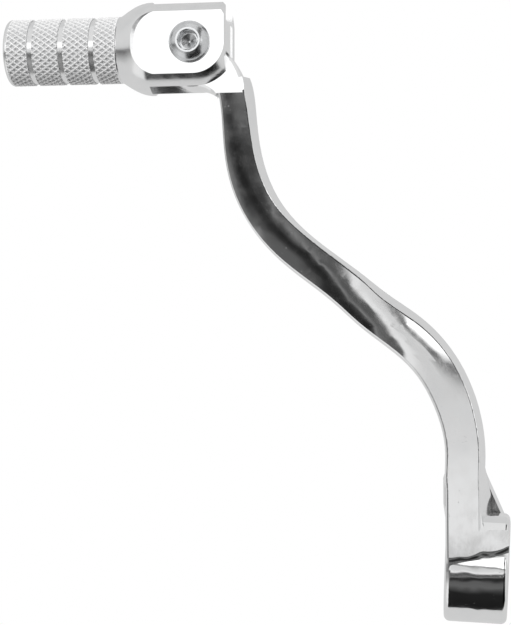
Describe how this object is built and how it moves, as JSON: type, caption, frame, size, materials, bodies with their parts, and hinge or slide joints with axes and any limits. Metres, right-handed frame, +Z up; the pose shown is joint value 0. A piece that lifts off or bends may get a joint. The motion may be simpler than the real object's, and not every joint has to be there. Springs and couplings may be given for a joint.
{
  "type": "folding gear shift lever",
  "caption": "Folding gear shift lever: S-curved forged arm with a serrated clamp ring at one end and a knurled toe tip on a sprung pivot at the other.",
  "frame": {"origin": "Centre of the serrated shaft bore, half way along the clamp ring.", "axes": "+X along the shift shaft towards the engine, +Y forwards from the shaft to the toe tip, +Z up along the pivot bolt. At rest the toe tip points along -X, turned 2.4 degrees towards -Y."},
  "size_m": [0.1405, 0.1646, 0.0503],
  "materials": {
    "polished_forging": "mirror-polished forged aluminium",
    "turned_aluminium": "turned and knurled bright aluminium with milled flats",
    "zinc_steel": "bright zinc-plated steel",
    "sleeve_steel": "ground steel",
    "spring_steel": "drawn spring wire",
    "nylon": "translucent white nylon"
  },
  "bodies": {
    "lever": {"lever_arm": "polished_forging", "pinch_bolt": "zinc_steel", "pinch_washer": "zinc_steel", "return_spring": "spring_steel"},
    "tip": {"folding_tip": "turned_aluminium", "pivot_bolt": "zinc_steel", "pivot_sleeve": "sleeve_steel", "pivot_washer": "zinc_steel", "pivot_nut": "zinc_steel", "nut_insert": "nylon"}
  },
  "joints": [
    {"name": "tip_fold", "type": "hinge", "parent": "lever", "child": "tip", "pos_m": [-0.08033, 0.13756, 0.0227], "axis": [0, 0, 1], "range_deg": [0, 60], "stiffness_Nm_per_rad": 0.12, "springref_deg": -34.38, "deforming": ["return_spring"]}
  ]
}
